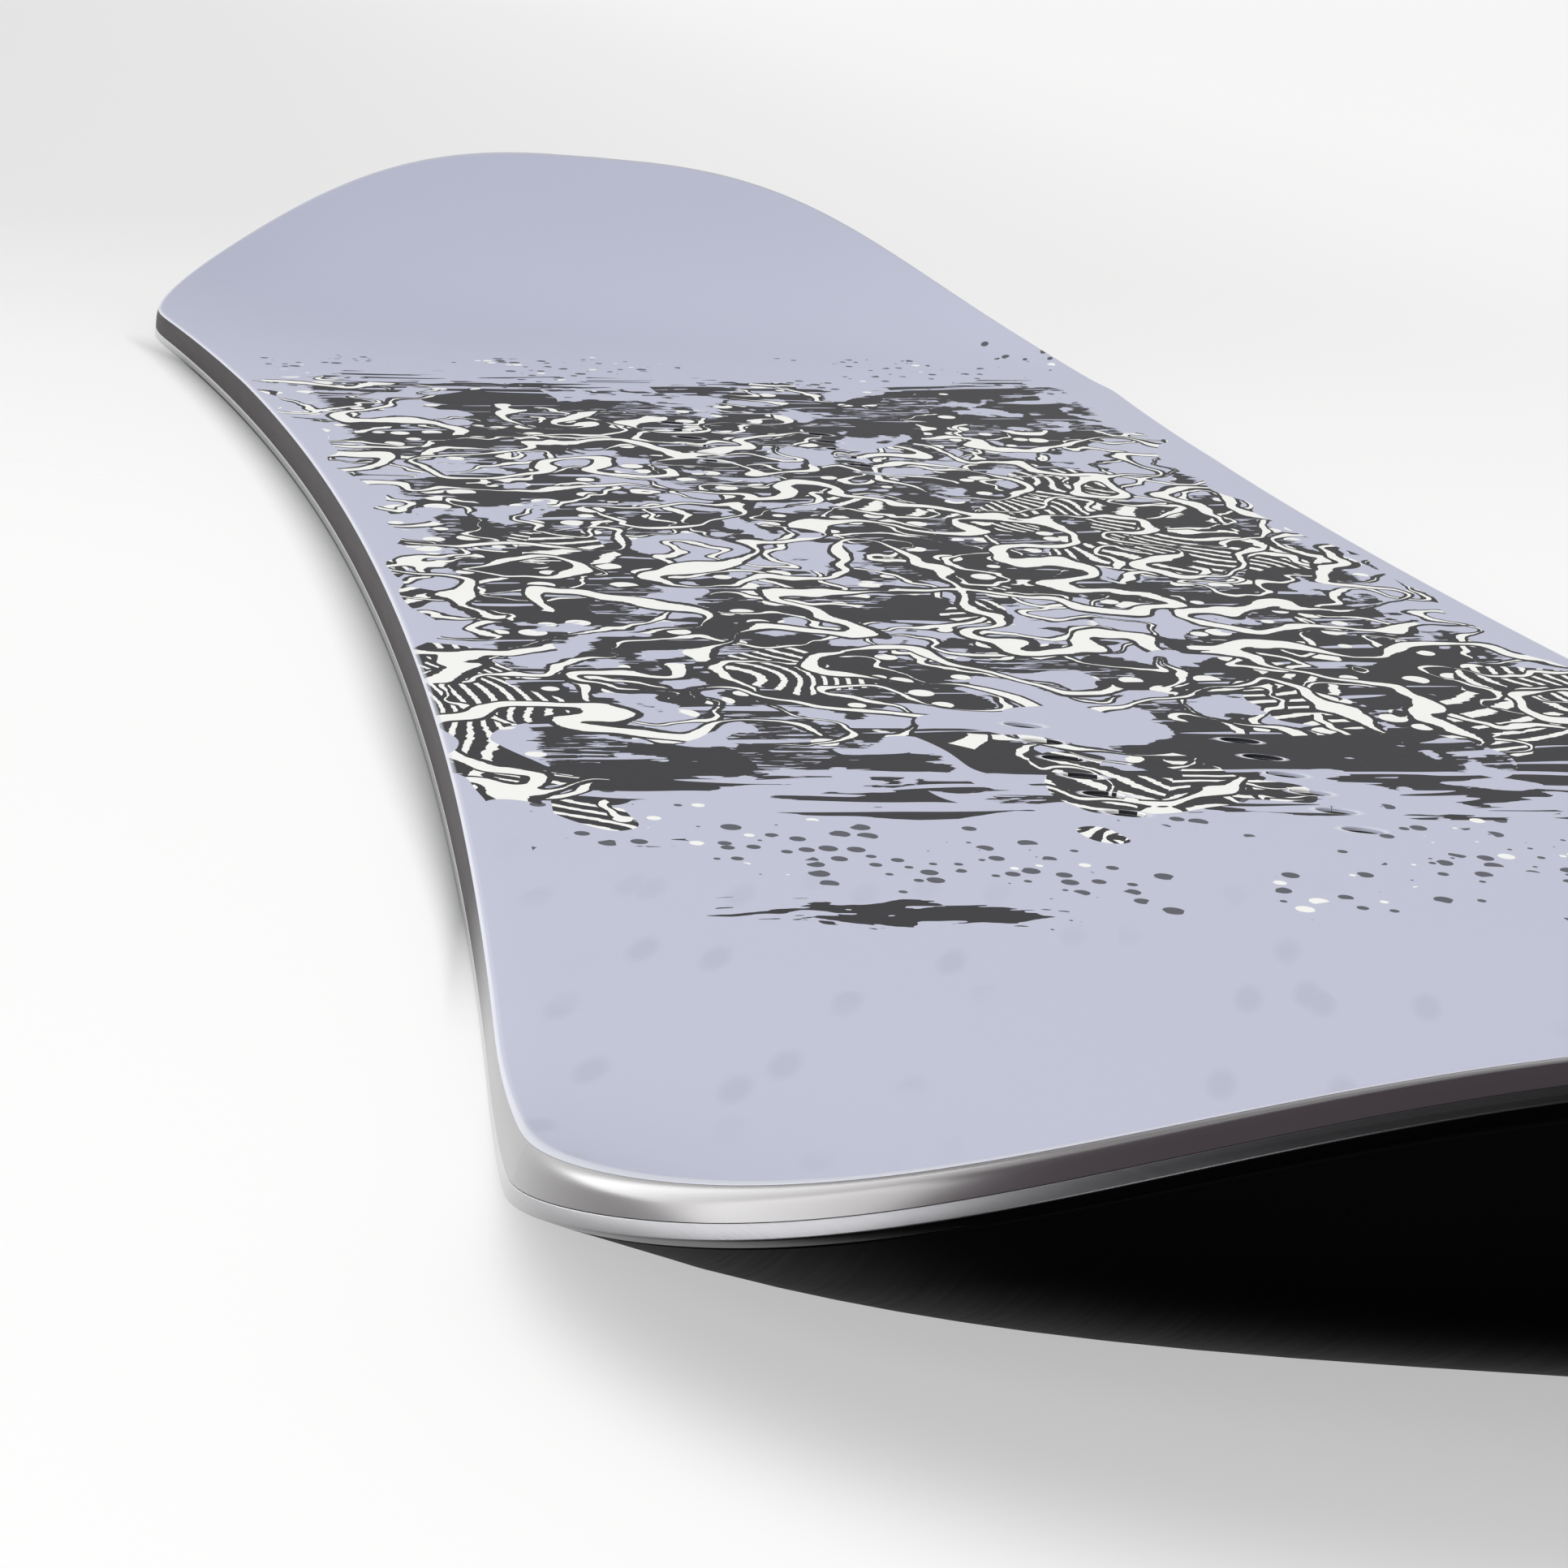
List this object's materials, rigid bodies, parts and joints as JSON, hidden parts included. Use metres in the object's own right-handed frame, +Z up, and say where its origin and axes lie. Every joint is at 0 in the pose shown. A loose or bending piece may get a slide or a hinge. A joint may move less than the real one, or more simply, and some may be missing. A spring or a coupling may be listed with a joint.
{
  "type": "snowboard",
  "caption": "Long flat-cambered board with turned-up rounded ends, a sandwich of base, steel edges, laminates, wood core, sidewalls and topsheet, with threaded inserts for bindings.",
  "frame": {"origin": "on the floor under the middle of the board: centre of the bounding box in plan, at its lowest point", "axes": "+X along the board towards the nose, +Z up out of the topsheet, +Y to the left when looking towards the nose"},
  "size_m": [1.55, 0.3, 0.0605],
  "materials": {
    "base_polyethylene": "waxed gloss black",
    "edge_steel": "ground bright",
    "damping_rubber": "matt",
    "glass_laminate": "woven glass fibre in epoxy",
    "topsheet_plastic": "satin lavender grey with a printed band",
    "sidewall_plastic": "satin dark grey",
    "spacer_plastic": "satin dark grey",
    "core_poplar": "planed",
    "core_beech": "planed",
    "insert_steel": "turned"
  },
  "bodies": {
    "root": {"base": "base_polyethylene", "core_insert_strip_left": "core_beech", "core_insert_strip_right": "core_beech", "core_middle_strip_left_1": "core_poplar", "core_middle_strip_left_2": "core_poplar", "core_middle_strip_right_1": "core_poplar", "core_middle_strip_right_2": "core_poplar", "core_side_strip_left": "core_poplar", "core_side_strip_right": "core_poplar", "core_strip_centre": "core_poplar", "edge_foil_left": "damping_rubber", "edge_foil_right": "damping_rubber", "insert_front_left_1": "insert_steel", "insert_front_left_2": "insert_steel", "insert_front_left_3": "insert_steel", "insert_front_left_4": "insert_steel", "insert_front_left_5": "insert_steel", "insert_front_left_6": "insert_steel", "insert_front_right_1": "insert_steel", "insert_front_right_2": "insert_steel", "insert_front_right_3": "insert_steel", "insert_front_right_4": "insert_steel", "insert_front_right_5": "insert_steel", "insert_front_right_6": "insert_steel", "insert_rear_left_1": "insert_steel", "insert_rear_left_2": "insert_steel", "insert_rear_left_3": "insert_steel", "insert_rear_left_4": "insert_steel", "insert_rear_left_5": "insert_steel", "insert_rear_left_6": "insert_steel", "insert_rear_right_1": "insert_steel", "insert_rear_right_2": "insert_steel", "insert_rear_right_3": "insert_steel", "insert_rear_right_4": "insert_steel", "insert_rear_right_5": "insert_steel", "insert_rear_right_6": "insert_steel", "lower_laminate": "glass_laminate", "nose_spacer": "spacer_plastic", "sidewall_left": "sidewall_plastic", "sidewall_right": "sidewall_plastic", "steel_edge_left": "edge_steel", "steel_edge_right": "edge_steel", "tail_spacer": "spacer_plastic", "topsheet": "topsheet_plastic", "upper_laminate": "glass_laminate"}
  },
  "joints": []
}
